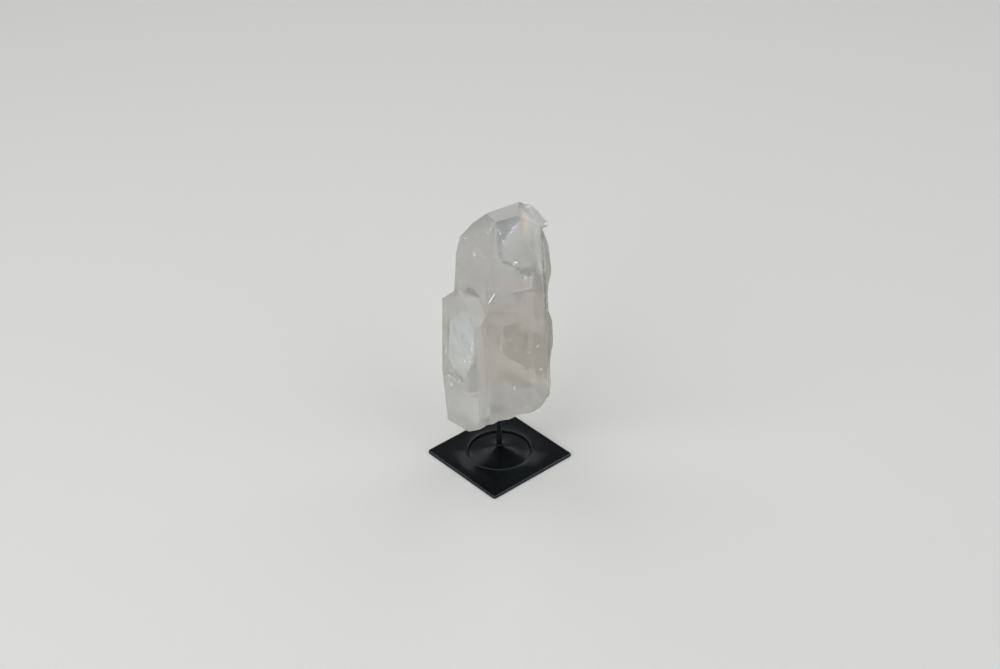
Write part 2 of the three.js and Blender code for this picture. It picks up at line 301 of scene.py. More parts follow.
# Faint grey films: painted shade below the smaller crystal's veil, on the strip and low in the front, and the
# deeper half of the dark patch under the tip
FAINT = veil_material("faint_veil_and_painted_shade", ((0.5, 0.54, 0.55), (0.66, 0.69, 0.69)),
                      cover=0.4, grain=120, gaps=(0.3, 0.6, 0.6, 1), metal=0)
WISP = veil_material("wispy_film", ((0.92, 0.93, 0.92), (1, 1, 0.99)),
                     cover=0.65, grain=260, gaps=(0.47, 0, 0.68, 1), metal=0.8)
TINGE = veil_material("warm_tinge", ((0.6, 0.55, 0.46), (0.74, 0.7, 0.62)),
                      cover=0.33, grain=60, gaps=(0.3, 0.6, 0.6, 1), metal=0)
# Ashen films: grey haze in the smaller crystal, and painted light in the crease above its tip
ASHEN = veil_material("ashen_veil_and_painted_light", ((0.74, 0.745, 0.73), (0.83, 0.83, 0.81)),
                      cover=0.7, grain=90, gaps=(0.3, 0.8, 0.6, 1), metal=0.4)
FOG = veil_material("bright_fog", ((0.93, 0.94, 0.93), (1, 1, 0.99)),
                    cover=0.85, grain=60, gaps=(0.3, 0.5, 0.65, 1), metal=0.85)
HAZE = veil_material("body_haze", ((0.8, 0.78, 0.73), (0.9, 0.88, 0.83)),
                     cover=0.5, grain=70, gaps=(0.3, 0.55, 0.62, 1), metal=0.5)
# Pale films for painted highlights along the crystal's edges
EDGE_HIGHLIGHT = veil_material("painted_edge_highlight", ((0.95, 0.95, 0.93), (1, 1, 1)),
                     cover=0.4, grain=70, gaps=(0.3, 0.75, 0.6, 1))
# A dark film for the line beside the right edge's painted highlight
DARK_LINE = veil_material("dark_line_film", ((0.3, 0.32, 0.3), (0.42, 0.44, 0.42)),
                      cover=0.5, grain=60, gaps=(0.3, 0.8, 0.6, 1), metal=0)
FLECK = fleck_material()
RAINBOW = rainbow_material()


# --- The crystal ---
EDGE_ROUND = 0.3 * MM
# What counts as one point or one face, and as an edge that wears: long, sharp and between broad faces
SAME_POINT = 0.002 * MM
NO_BEND = math.radians(0.4)
LONG_EDGE = 5 * MM
SHARP_EDGE = math.radians(8)
BROAD_FACE = 25 * MM * MM


def build_crystal():
    """The part's crystal with its long edges worn a little round."""
    bm = bmesh.new()
    bm.from_mesh(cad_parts["quartz_crystal"].data)
    bmesh.ops.remove_doubles(bm, verts=bm.verts, dist=SAME_POINT)
    bmesh.ops.dissolve_limit(bm, angle_limit=NO_BEND, verts=bm.verts, edges=bm.edges)
    long_edges = [edge for edge in bm.edges if len(edge.link_faces) == 2
                  and edge.calc_length() > LONG_EDGE
                  and edge.calc_face_angle() > SHARP_EDGE
                  and min(face.calc_area() for face in edge.link_faces) > BROAD_FACE]
    bmesh.ops.bevel(bm, geom=long_edges, offset=EDGE_ROUND, segments=2, profile=0.5, affect="EDGES",
                    clamp_overlap=False)
    bmesh.ops.dissolve_degenerate(bm, dist=SAME_POINT / 2, edges=bm.edges)
    bmesh.ops.triangulate(bm, faces=[face for face in bm.faces if len(face.verts) > 4])
    return mesh_object("crystal", bm, QUARTZ)


def border_fade(point, border, softness):
    """How much of a film is left at a point of its own plane: it fades out toward each part of its outline
    over that part's softness."""
    fade = 1
    for i, start in enumerate(border):
        j = (i + 1) % len(border)
        step = border[j] - start
        share = max(0, min(1, (point - start).dot(step) / step.length_squared))
        soft = softness[i] + (softness[j] - softness[i]) * share
        fade = min(fade, (point - start - step * share).length / soft)
    return fade


def fine_sheet(border, grain):
    """A flat bmesh inside a border, in triangles no longer than the grain."""
    bm = bmesh.new()
    bm.faces.new([bm.verts.new(corner) for corner in border])
    bmesh.ops.triangulate(bm, faces=bm.faces)
    while True:
        too_long = [edge for edge in bm.edges if edge.calc_length() > grain]
        if not too_long:
            return bm
        bmesh.ops.subdivide_edges(bm, edges=too_long, cuts=1)
        bmesh.ops.triangulate(bm, faces=[face for face in bm.faces if len(face.verts) > 3])


def crystal_skin():
    """The crystal's faces, to be met by rays."""
    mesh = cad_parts["quartz_crystal"].data
    faces = [face.vertices for face in mesh.polygons]
    return BVHTree.FromPolygons([vert.co for vert in mesh.vertices], faces)


SKIN = crystal_skin()
SKIN_MARGIN = 0.25 * MM
PROBE = Vector((0.31, 0.17, 0.94)).normalized()
# Millimetres from one crossing to where the search for the next one starts, and from a face to a point that
# is surely outside
PROBE_STEP = 0.001
WELL_OUTSIDE = 30


def is_inside(point):
    """Whether a point lies inside the crystal with a margin: a ray from it then meets the skin an odd number
    of times."""
    if SKIN.find_nearest(point)[3] < SKIN_MARGIN:
        return False
    crossings = 0
    hit = SKIN.ray_cast(point, PROBE)[0]
    while hit is not None:
        crossings += 1
        hit = SKIN.ray_cast(hit + PROBE * PROBE_STEP * MM, PROBE)[0]
    return crossings % 2 == 1


def on_skin(face, along, height):
    """The crystal's skin straight behind a point over a face, or None, and the face's outward normal."""
    normal = Matrix.Rotation(CRYSTAL_TURN, 3, "Z") @ face_axes(face)[0]
    over = on_crystal(under_face(face, along, height, 0)) + normal * WELL_OUTSIDE * MM
    return SKIN.ray_cast(over, -normal)[0], normal


# --- What shows inside the crystal ---
# Millimetres between a film's points, which depend on the softness of its outline
FINEST_GRAIN = 0.5
COARSEST_GRAIN = 1.8
GRAIN_PER_SOFTNESS = 4
# The scale of a film's waves, and how much longer than flat its edges may be on the skin
WAVES_PER_METRE = 110
STEEP_STEP = 3


def finish_inside(piece):
    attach(piece, "root")


def laid_on_skin(sheet, face, lift):
    """Where each point of a flat sheet comes to lie on the skin behind a face, raised by the lift. It has no
    place where there is no skin, or where the skin steps down."""
    places = {}
    for vert in sheet.verts:
        skin = on_skin(face, vert.co.x, vert.co.y)[0]
        places[vert] = None if skin is None else skin + lift
    stepped = set()
    for edge in sheet.edges:
        a, b = (places[vert] for vert in edge.verts)
        if a is not None and b is not None and (a - b).length > STEEP_STEP * edge.calc_length():
            stepped.update(edge.verts)
    places.update((vert, None) for vert in stepped)
    return places


def laid_inside(sheet, face, depth, wave):
    """Where each point of a flat sheet comes to lie under a face, at a depth that waves a little. It has no
    place outside the crystal."""
    places = {}
    for vert in sheet.verts:
        swing = noise.noise(vert.co * WAVES_PER_METRE + Vector((0, 0, depth)))
        place = on_crystal(under_face(face, vert.co.x, vert.co.y, depth * MM + wave * MM * swing))
        places[vert] = place if is_inside(place) else None
    return places


def trim(sheet, places):
    """Deletes the points that have no place, then loose points and points where two borders touch."""
    outside = [vert for vert in sheet.verts if places[vert] is None]
    while outside:
        bmesh.ops.delete(sheet, geom=outside, context="VERTS")
        outside = [vert for vert in sheet.verts if not vert.link_faces
                   or sum(len(edge.link_faces) == 1 for edge in vert.link_edges) > 2]


def closed_film(sheet, places, inward):
    """The closed bmesh of a film with the placed sheet as its front."""
    sheet.verts.index_update()
    front = [places[vert] for vert in sheet.verts]
    back = [place + inward for place in front]
    count = len(front)
    faces = [[vert.index for vert in face.verts] for face in sheet.faces]
    faces += [[index + count for index in reversed(corners)] for corners in faces]
    for edge in sheet.edges:
        if len(edge.link_faces) == 1:
            a, b = edge.verts[0].index, edge.verts[1].index
            faces.append([a, b, b + count, a + count])
    film = bmesh.new()
    verts = [film.verts.new(place) for place in front + back]
    for corners in faces:
        film.faces.new([verts[index] for index in corners])
    return film


def veil(name, material, face, depth, outline, wave=0.3, thick=0.12):
    """A thin closed film under a face, or half sunk in the skin behind it where no depth is given, all in
    millimetres. Its outline goes around in (along, height, softness) points, and it ends where the crystal
    does. Nothing is made where no part of it lies in the crystal."""
    border = [Vector((along * MM, height * MM, 0)) for along, height, _ in outline]
    softness = [soft * MM for _, _, soft in outline]
    sharpest = min(soft for _, _, soft in outline)
    grain = min(COARSEST_GRAIN, max(FINEST_GRAIN, GRAIN_PER_SOFTNESS * sharpest))
    sheet = fine_sheet(border, grain * MM)
    fades = {vert: border_fade(vert.co, border, softness) for vert in sheet.verts}
    inward = Matrix.Rotation(CRYSTAL_TURN, 3, "Z") @ -face_axes(face)[0] * thick * MM
    if depth is None:
        places = laid_on_skin(sheet, face, -inward / 2)
    else:
        places = laid_inside(sheet, face, depth, wave)
    trim(sheet, places)
    if sheet.faces:
        kept = [fades[vert] for vert in sheet.verts]
        piece = mesh_object(name, closed_film(sheet, places, inward), material, smooth=True)
        piece.data.attributes.new("fade", "FLOAT", "POINT").data.foreach_set("value", kept + kept)
        finish_inside(piece)
    sheet.free()


def ribbon(name, material, face, path, width, soft, depth=None, thick=0.12):
    """A narrow film under a face, or half sunk in the skin behind it, along a path of (along, height)
    points."""
    line = [Vector(point) for point in path]
    left, right = [], []
    for i, point in enumerate(line):
        step = (line[min(i + 1, len(line) - 1)] - line[max(i - 1, 0)]).normalized()
        side = Vector((-step.y, step.x)) * width / 2
        left.append(point + side)
        right.append(point - side)
    veil(name, material, face, depth, [(*corner, soft) for corner in left + right[::-1]], 0.1, thick)


def add_fleck(bm, draw, place, normal, size):
    """A thin five-sided splinter at a place on the skin, leaning and turned at random. Where there is no
    place, it only makes its draws."""
    depth = draw.uniform(-0.02, 0.1) * MM
    lean = Vector((draw.gauss(0, 0.3), draw.gauss(0, 0.3), draw.uniform(0, 0.9)))
    facing = (normal + lean).normalized().to_track_quat("Z", "Y").to_matrix()
    turn = facing @ Matrix.Rotation(draw.uniform(0, math.tau), 3, "Z")
    radius = size * MM * draw.choice((0.45, 0.6, 0.8, 1.1))
    slim = draw.uniform(0.3, 0.9)
    ring = [Vector((radius * draw.uniform(0.6, 1) * math.cos(k * math.tau / 5),
                    radius * slim * math.sin(k * math.tau / 5), 0)) for k in range(5)]
    tips = [Vector((0, 0, side * radius * 0.15)) for side in (1, -1)]
    if place is None:
        return
    ring = [bm.verts.new(place - normal * depth + turn @ corner) for corner in ring]
    tips = [bm.verts.new(place - normal * depth + turn @ corner) for corner in tips]
    for k in range(5):
        bm.faces.new((ring[k], ring[(k + 1) % 5], tips[0]))
        bm.faces.new((ring[(k + 1) % 5], ring[k], tips[1]))


def flecks(name, trails, seed):
    """Small bright cracks in the skin, in millimetres, scattered along trails of (face, path, spread, count,
    size)."""
    draw = random.Random(seed)
    bm = bmesh.new()
    for face, path, spread, count, size in trails:
        line = [Vector(point) for point in path]
        for _ in range(count):
            spot = draw.uniform(0, len(line) - 1)
            start = min(int(spot), max(len(line) - 2, 0))
            end = min(start + 1, len(line) - 1)
            along, height = line[start].lerp(line[end], spot - start)
            along, height = (along + draw.gauss(0, spread)) * MM, (height + draw.gauss(0, spread)) * MM
            add_fleck(bm, draw, *on_skin(face, along, height), size)
    finish_inside(mesh_object(name, bm, FLECK))


def wisps(count, seed):
    """Wispy films at all angles through the main crystal."""
    draw = random.Random(seed)
    for i in range(count):
        bearing, rise = FRONT[0] + draw.gauss(0, 35), draw.uniform(-35, 35)
        plane = (bearing, rise, draw.uniform(-14, 8) * MM, MAIN_HEART)
        middle = Vector((draw.uniform(-18, 18), draw.uniform(62, 158)))
        reach = draw.uniform(9, 18)
        corners = [middle + Matrix.Rotation(math.tau * k / 7, 2) @ Vector((reach * draw.uniform(0.6, 1.2), 0))
                   for k in range(7)]
        veil(f"wisp_{i}", WISP, plane, 0.01, [(*corner, 2) for corner in corners], wave=0.9)


crystal = build_crystal()
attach(crystal, "root")
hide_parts("quartz_crystal")

# Each film lies under the face that it is seen through. First the smaller crystal: haze, the milky veil, and
# the shade and the band below it
veil("side_cap", ASHEN, SIDE_FRONT, 2.5, [
    (-36, 112, 1), (-14, 120, 1), (-8, 112, 1), (-1, 100, 0.5), (-3, 96, 3), (-10, 92, 6), (-20, 80, 8),
    (-36, 70, 8)])
veil("tip_haze", ASHEN, SIDE_TIP, 1.0, [
    (-30, 114.5, 2), (-26.7, 114.5, 1), (-22.6, 112, 1), (-17, 108.5, 1.5), (-13.5, 104, 1),
    (-12.5, 97, 1), (-14.5, 89, 1), (-17.4, 86, 2), (-22.6, 87, 1), (-25.5, 96.9, 1), (-28.5, 105.4, 1)])
veil("side_left_haze", ASHEN, SIDE_FRONT, 2.0, [
    (-36, 75, 4), (-22, 80, 2), (-21.5, 69, 3), (-22, 56, 3), (-19, 49, 3), (-15, 44, 2), (-20, 40, 3),
    (-36, 42, 3)])
veil("side_low_haze", ASHEN, SIDE_FRONT, 2.8, [
    (-36, 41, 2), (-19, 39.5, 2), (-10.7, 33.5, 1), (-10.1, 25, 1), (-4.9, 23, 3), (-6, 5, 5),
    (-24, -2, 4), (-36, 5, 4)])
veil("side_veil", MILKY, SIDE_FRONT, 1.6, [
    (-9.1, 98.6, 0.6), (-3, 98.3, 0.4), (2.3, 89.5, 0.3), (2.6, 76.4, 0.3), (1.7, 62.7, 0.3),
    (-2.4, 52.6, 0.4), (-7.9, 41.2, 0.6), (-14.7, 41.7, 0.8), (-20.8, 45.6, 1.5), (-24.1, 55.5, 2),
    (-22.1, 71, 2), (-20.2, 85, 0.8)])
veil("side_veil_core", MILKY, SIDE_FRONT, 1.0, [
    (-11.1, 93.2, 3), (-4.3, 95.6, 1), (1.8, 86.9, 0.6), (2, 75, 0.6), (0.8, 62.4, 0.8), (-4.5, 60.5, 3),
    (-8.5, 67.6, 3), (-16.9, 73, 4), (-17.7, 83.6, 3)], wave=0.2)
veil("side_shade", FAINT, SIDE_FRONT, 2.2, [
    (-2.1, 51.4, 1), (9.3, 58.1, 3), (10.5, 41.3, 0.5), (-0.3, 33.4, 0.5), (-7.1, 34.5, 2),
    (-7.5, 40.6, 1)])
veil("side_band", PALE, SIDE_FRONT, 1.6, [
    (-9.9, 26.5, 0.6), (-0.3, 32.1, 0.5), (10.4, 38.6, 0.5), (11, 35.3, 2), (0.8, 28.6, 2),
    (-9.5, 22.3, 2)])
veil("side_foot", PALE, SIDE_FRONT, 2.5, [
    (-21, 27, 4), (-10, 24, 3), (10, 33, 3), (12, 8, 4), (-2, 0, 4), (-19, 8, 4)])
veil("strip_shade", FAINT, STRIP, 1.0, [
    (-33.5, 48, 2), (-20, 50, 2.5), (-19.3, 40, 1), (-20, 33.5, 1), (-33.5, 37.5, 1)])
veil("strip_band", PALE, STRIP, 1.7, [
    (-33.5, 36.5, 0.6), (-20, 32.5, 0.6), (-20.5, 27, 2), (-33.8, 30.5, 2)])

# Behind the broad front, from the tip down
# A darker blue-grey patch below the tip's top facet, in two films
veil("top_dark_patch", GREY, FRONT, 1.5, [
    (-3.4, 165.9, 0.3), (5, 166.6, 0.3), (13.5, 166.9, 0.6), (14.8, 162.8, 2.5), (11.4, 158.3, 3),
    (5.6, 153, 3), (2.6, 146.8, 2.5), (1.8, 135, 2), (-1.5, 135.4, 2), (-3.6, 144.6, 0.8)])
veil("top_dark_patch_deep", FAINT, FRONT, 3, [
    (-3, 165.5, 0.5), (5, 166, 0.5), (9, 162, 2.5), (4, 154, 3), (1.5, 146, 2), (-3.2, 144.6, 0.8)])
veil("upper_glow", PALE, FRONT, 3.2, [
    (13.4, 148.5, 4), (19.2, 151.9, 4), (28.6, 146.2, 4), (29, 130.8, 4), (22.5, 124.6, 3),
    (16.8, 129.3, 3), (9.2, 134.5, 3), (5.6, 142.6, 3)])
veil("bright_fog", FOG, FRONT, 2.6, [
    (4.8, 145.2, 3), (11.8, 149.6, 4), (20.9, 147.1, 4), (27.4, 140.1, 4), (27.9, 126, 4),
    (24.3, 123.4, 2), (15.9, 129.1, 2), (6.8, 133.3, 2), (2.4, 139.5, 2)])
veil("dark_fracture", BLOTCHED, FRONT, 1.3, [
    (12.4, 125.4, 1), (18.5, 125.4, 1), (22.3, 121.1, 1), (23, 116, 1), (20.5, 114.2, 1),
    (18.7, 117.5, 1), (16.6, 114.6, 1), (14.5, 116, 1), (11.5, 121, 1)], wave=0.6)
veil("dark_wisp", BLOTCHED, FRONT, 1.3, [
    (-1.1, 136, 0.7), (4.2, 134, 0.7), (8.7, 130.6, 0.7), (13.9, 126, 0.7), (16.2, 122.9, 0.7),
    (10.8, 123.6, 0.7), (6.5, 129, 0.7), (3, 131.4, 0.7), (-0.4, 132.6, 0.7)])
veil("warm_patch", WARM, FRONT, 1.7, [
    (-4.1, 109.1, 0.4), (0.6, 113.4, 0.6), (5.3, 116.2, 1), (8.4, 117.7, 1), (13, 114.7, 0.8),
    (18.3, 111.5, 0.8), (23, 113.4, 0.6), (24.6, 106.4, 0.4), (17.4, 106.8, 0.4), (9, 108.5, 0.4),
    (2, 108.1, 0.4)])
veil("wavy_fracture", BLOTCHED, FRONT, 1.2, [
    (-2, 107.2, 0.7), (4.2, 107.2, 0.7), (12.9, 106.4, 0.7), (17.8, 106, 0.7), (23.6, 106, 0.7),
    (23, 102.8, 0.8), (17, 103.6, 0.8), (13.8, 102.8, 0.8), (5, 104.4, 0.8), (-1, 104.6, 0.7)], wave=0.5)
veil("middle_haze", HAZE, FRONT, 2.6, [
    (-13, 101, 3), (6, 106, 2), (25, 104, 2), (33, 98, 5), (35, 58, 5), (18, 64, 4), (-2, 71, 3),
    (-13, 64, 3)])
veil("low_haze", HAZE, FRONT, 2.6, [
    (-12, 58, 3), (-1, 46, 1), (12, 34.5, 1), (34, 14, 3), (33, 4, 4), (-2, -2, 4), (-13, 2, 3)])
veil("pale_cloud", PALE, FRONT, 1.2, [
    (17.6, 80, 1.5), (23.9, 80.6, 2), (29.4, 76.4, 2), (29.2, 68.7, 2), (22.9, 68.1, 2),
    (18.2, 72.1, 1.5)])
veil("smoky_zone", SMOKY, FRONT, 1.8, [
    (-0.2, 79.3, 2.5), (9.1, 78.3, 3.5), (20.7, 71.1, 3.5), (34.5, 63, 3), (34.5, 24.4, 1),
    (28.8, 29.5, 0.3), (14.6, 42, 0.3), (0.7, 53.8, 0.3), (-1.5, 61, 1.5)])
veil("lower_band", MILKY_WARM, FRONT, 1.4, [
    (-12.9, 73.3, 2), (-3.8, 67, 1), (-0.8, 60.1, 0.6), (0.5, 53.2, 0.3), (14.5, 41.3, 0.3),
    (28.6, 28.8, 0.3), (35, 23.2, 0.6), (35.3, 12.2, 3), (24.5, 17.6, 4), (11.9, 30.5, 4), (0.3, 41.3, 4),
    (-11.3, 48.5, 3), (-13.3, 60.6, 2)], wave=0.15)
veil("olive_shade", TINGE, FRONT, 1.8, [
    (-5.4, 45.3, 2), (2.7, 43.4, 2), (12.3, 36.3, 2), (22.7, 27.4, 2), (22.6, 19, 3), (11.8, 21.6, 3),
    (2.2, 29.7, 3), (-4.9, 36.1, 3)])
veil("low_smudge", GREY, FRONT, 1.0, [
    (-6.9, 22.9, 0.5), (-3.4, 22.6, 0.5), (-1.6, 21, 0.5), (-2.4, 18.9, 0.5), (-6, 20, 0.5)])
veil("low_shade", FAINT, FRONT, 1.8, [
    (-12.2, 18, 1), (-4.4, 16.6, 3), (2, 9.4, 3), (-2.2, 5, 3), (-11.7, 9, 1.5)])

# Behind the left face
veil("left_wash", TINGE, LEFT_FRONT, 3.5, [
    (-18.8, 139.5, 6), (-3.7, 150.9, 7), (8.8, 150.1, 6), (12.3, 133.6, 5), (11.9, 113.1, 6),
    (-2.3, 104.6, 6), (-18.1, 105.3, 6), (-23.7, 118.9, 6)])
# Painted light: a pale film that lifts the shade in the crease above the smaller crystal's tip
veil("crease_painted_light", ASHEN, LEFT_FRONT, 0.8, [
    (-22, 115, 3), (-13, 118, 3), (-2, 117, 3), (6, 113, 3), (5, 97, 2), (-8, 97, 2), (-20, 99, 2)])
veil("left_smudge", GREY, LEFT_FRONT, 1.3, [
    (-18.9, 128, 1), (-16.1, 126, 1), (-17.1, 122.3, 1), (-19.7, 122, 1), (-20.4, 124.7, 1)])

# Through the tip, the shoulder and the tablet
veil("rainbow_top", RAINBOW, SHOULDER, 0.6, [
    (11.6, 167.8, 0.6), (12.6, 164.9, 0.6), (12, 162.3, 0.6), (9.7, 160.1, 0.4), (5.5, 162, 0.4),
    (3.6, 163.4, 0.4), (3.2, 165.4, 0.4), (6, 166.8, 0.4)], wave=0)
veil("rainbow_low", RAINBOW, FRONT, 0.6, [
    (14.8, 164.8, 0.4), (21.8, 162.3, 0.5), (22.6, 158.1, 1), (21.8, 152.3, 3), (18.6, 149.1, 4),
    (15.6, 150.3, 4), (14.3, 154.1, 1), (14.4, 159.5, 0.5)], wave=0)
wisps(count=10, seed=21)
# Painted shade: grey films that darken the shoulder and the tablet's face
veil("shoulder_shade", GREY, SHOULDER, 0.8, [
    (14.6, 166.9, 1), (18.6, 164.1, 1), (20, 158.9, 1.5), (19.2, 155.2, 1.5), (16.6, 153.6, 1.5),
    (13, 158.9, 1.5), (12.4, 163.7, 1)])
veil("tablet_shade", GREY, TABLET, 0.8, [
    (23.1, 165.6, 0.6), (25.4, 162.7, 0.4), (27.7, 158.4, 0.4), (29.3, 155, 0.5), (26.5, 152.8, 1),
    (24.2, 156.4, 1.5), (22.5, 161.9, 1)])

# A scratch and lines in the skin, and painted highlights along its edges
ribbon("edge_scratch", FLECK, FRONT, [(-6.2, 110.3), (-8.5, 107.2), (-10.9, 103.9)], width=0.9, soft=0.1)
ribbon("seam_line", MILKY_WARM, STRIP, [
    (-21.2, 94), (-21.2, 83), (-20.1, 65.5), (-19.9, 40), (-21.1, 23), (-23.6, 6)
], width=1.7, soft=0.4, depth=0.7)
# Painted highlights: pale ribbons in the skin along the front's right edge
ribbon("flank_line_highlight", EDGE_HIGHLIGHT, FRONT, [
    (29.6, 152), (29.7, 139.4), (30.1, 123.3), (30.8, 108.6), (31, 100.7), (31.4, 89.6)
], width=0.8, soft=0.4)
# A dark line along the right flank, next to the painted highlight
ribbon("flank_dark_line", DARK_LINE, FRONT, [
    (32.6, 148.7), (32.9, 137), (33.4, 126), (33.8, 116), (34.2, 105.5), (34.5, 83)
], width=1.3, soft=0.4, thick=0.5)
# More painted highlights lower down the same edge
ribbon("flank_rim_highlight", EDGE_HIGHLIGHT, FRONT, [(35.3, 88), (36, 77.7), (36.2, 64.8), (36, 52)], width=1, soft=0.45)
ribbon("flank_foot_highlight", EDGE_HIGHLIGHT, FRONT, [(33.7, 38), (33.6, 28.4), (33.8, 19.5)], width=0.9, soft=0.4)
# A painted highlight: a pale ribbon in the skin along the tablet's upper edge
ribbon("tablet_rim_highlight", PALE, TABLET, [
    (22.9, 166.8), (25, 163.9), (27.5, 160.2), (30, 156.5), (31.2, 154.6)
], width=1.6, soft=0.3, thick=0.4)

# Sparkling chips
flecks("side_flecks", [
    (SIDE_FRONT, [(1, 79.5), (0.5, 74.7), (-1.4, 66), (-2.7, 62.5), (-4.3, 60.5)], 0.9, 26, 0.6),
    (SIDE_FRONT, [(0.2, 56.9), (-2.8, 58), (-8.8, 58.4), (-6.4, 56.8), (-10.2, 53.5)], 0.9, 20, 0.6),
    (SIDE_FRONT, [(-28, 35.6), (-22.9, 37.6), (-17.2, 37.2), (-12.2, 36.6), (-9.2, 34.1),
                  (-8.6, 27.4)], 0.9, 46, 0.42),
    (SIDE_FRONT, [(-21.2, 32.5), (-20.7, 29.6)], 0.5, 9, 0.65),
    (SIDE_FRONT, [(-20.1, 43.6), (-22.8, 38.8)], 0.8, 8, 0.5),
    (SIDE_FRONT, [(-23.5, 62.7), (-24, 58)], 0.5, 5, 0.5),
    (STRIP, [(-25.7, 80.8), (-27.6, 69.3), (-27.9, 66.5), (-25.2, 63.7)], 0.7, 20, 0.55),
], seed=3)
flecks("fine_flecks", [
    (FRONT, [(8, 60), (10, 100), (8, 155)], 8, 90, 0.3),
    (LEFT_FRONT, [(-6, 118), (-5, 155)], 8, 80, 0.3),
    (SIDE_FRONT, [(-10, 20), (-10, 92)], 7, 60, 0.3),
    (STRIP, [(-26, 25), (-28, 95)], 3, 24, 0.28),
], seed=9)
flecks("main_flecks", [
    (FRONT, [(-2.2, 160.7), (-0.8, 158), (0.7, 156.5)], 0.6, 18, 0.45),
    (FRONT, [(10.6, 160.3), (9, 158.6), (6.7, 155.8), (4.4, 154.1)], 0.9, 40, 0.5),
    (FRONT, [(1.3, 151), (3.5, 148.8), (3, 147)], 0.9, 18, 0.48),
    (FRONT, [(28.4, 136), (29.8, 125.8), (30.3, 110.9)], 0.5, 18, 0.4),
    (FRONT, [(28.5, 94.7), (33.3, 96.7), (33.9, 84.7)], 0.8, 18, 0.4),
    (FRONT, [(9, 130.6), (10.5, 131.6), (12.2, 129.6)], 0.3, 14, 0.75),
    (FRONT, [(16.8, 116.6), (17.8, 115.6), (18.6, 116.6)], 0.5, 16, 0.6),
    (FRONT, [(21.2, 116.2), (22.2, 115.2)], 0.3, 5, 0.5),
    (FRONT, [(11.3, 123.9), (13.5, 121), (15.5, 119.5)], 0.7, 10, 0.5),
    (FRONT, [(8, 106), (13, 107), (18, 107.6), (23, 107)], 0.5, 20, 0.4),
    (FRONT, [(-3, 80.5), (-2.3, 77.5)], 0.2, 8, 0.6),
    (FRONT, [(-2.2, 76), (-2.4, 69), (-2.6, 66)], 0.2, 10, 0.4),
    (FRONT, [(-2.5, 66), (-2.8, 62.5)], 0.25, 8, 0.6),
    (FRONT, [(4.3, 68.7), (5.5, 68)], 0.2, 3, 0.55),
    (FRONT, [(19.7, 52.8)], 0.15, 3, 0.7),
    (FRONT, [(19.8, 58.3), (20.4, 56)], 0.3, 5, 0.5),
    (FRONT, [(25, 55.4), (26.6, 57)], 0.3, 7, 0.55),
    (FRONT, [(27.4, 36), (29.2, 35)], 0.25, 7, 0.6),
    (FRONT, [(7.3, 28.7), (6.6, 23.9), (7.8, 27.2)], 0.3, 10, 0.6),
    (LEFT_FRONT, [(7.9, 165), (6.4, 161.6), (4.8, 157.2), (3.6, 151.7)], 0.5, 34, 0.42),
    (LEFT_FRONT, [(-14.6, 147.4), (-15.6, 146.8)], 0.3, 7, 0.6),
    (LEFT_FRONT, [(-20.3, 146), (-18.2, 142)], 0.7, 10, 0.5),
    (LEFT_FRONT, [(-6.8, 139.4), (-5.8, 135.9)], 0.7, 16, 0.45),
    (LEFT_FRONT, [(-1.9, 142.5), (1.7, 137.5)], 0.8, 14, 0.4),
    (LEFT_FRONT, [(-9.4, 120.9), (-5, 116.2), (-2.6, 120)], 1, 14, 0.38),
    (TABLET, [(28.4, 153.4), (30.5, 154.2), (31.3, 155.6)], 0.5, 16, 0.6),
    (SHOULDER, [(15, 166), (15.2, 160), (16, 155)], 0.6, 12, 0.45),
    (LEFT_FRONT, [(-8.8, 120.9), (-2.9, 120.8), (3.8, 124.4)], 0.8, 14, 0.5),
], seed=5)


# --- The stand ---
RIM_STEPS = 4
FLANK_STEPS = 14
LIP_STEPS = 3
SHARP_BEND = math.radians(50)


def smooth_line(points, steps):
    """Catmull-Rom points through the given ones."""
    ends = [points[0]] + list(points) + [points[-1]]
    line = []
    for a, b, c, d in zip(ends, ends[1:], ends[2:], ends[3:]):
        for i in range(steps):
            t = i / steps
            line.append(tuple(0.5 * (2 * q + (r - p) * t + (2 * p - 5 * q + 4 * r - s) * t * t
                                     + (3 * q - p - 3 * r + s) * t ** 3)
                              for p, q, r, s in zip(a, b, c, d)))
    return line + [points[-1]]


def rounded_square(side, corner, side_steps=22, corner_steps=8):
    """The points around a level square with round corners."""
    points = []
    inner = side / 2 - corner
    for quarter in range(4):
        turn = Matrix.Rotation(quarter * math.pi / 2, 2)
        for i in range(1, side_steps):
            points.append(turn @ Vector((side / 2, -inner + 2 * inner * i / side_steps)))
        for i in range(corner_steps + 1):
            angle = math.pi / 2 * i / corner_steps
            points.append(turn @ Vector((inner + corner * math.cos(angle), inner + corner * math.sin(angle))))
    return points


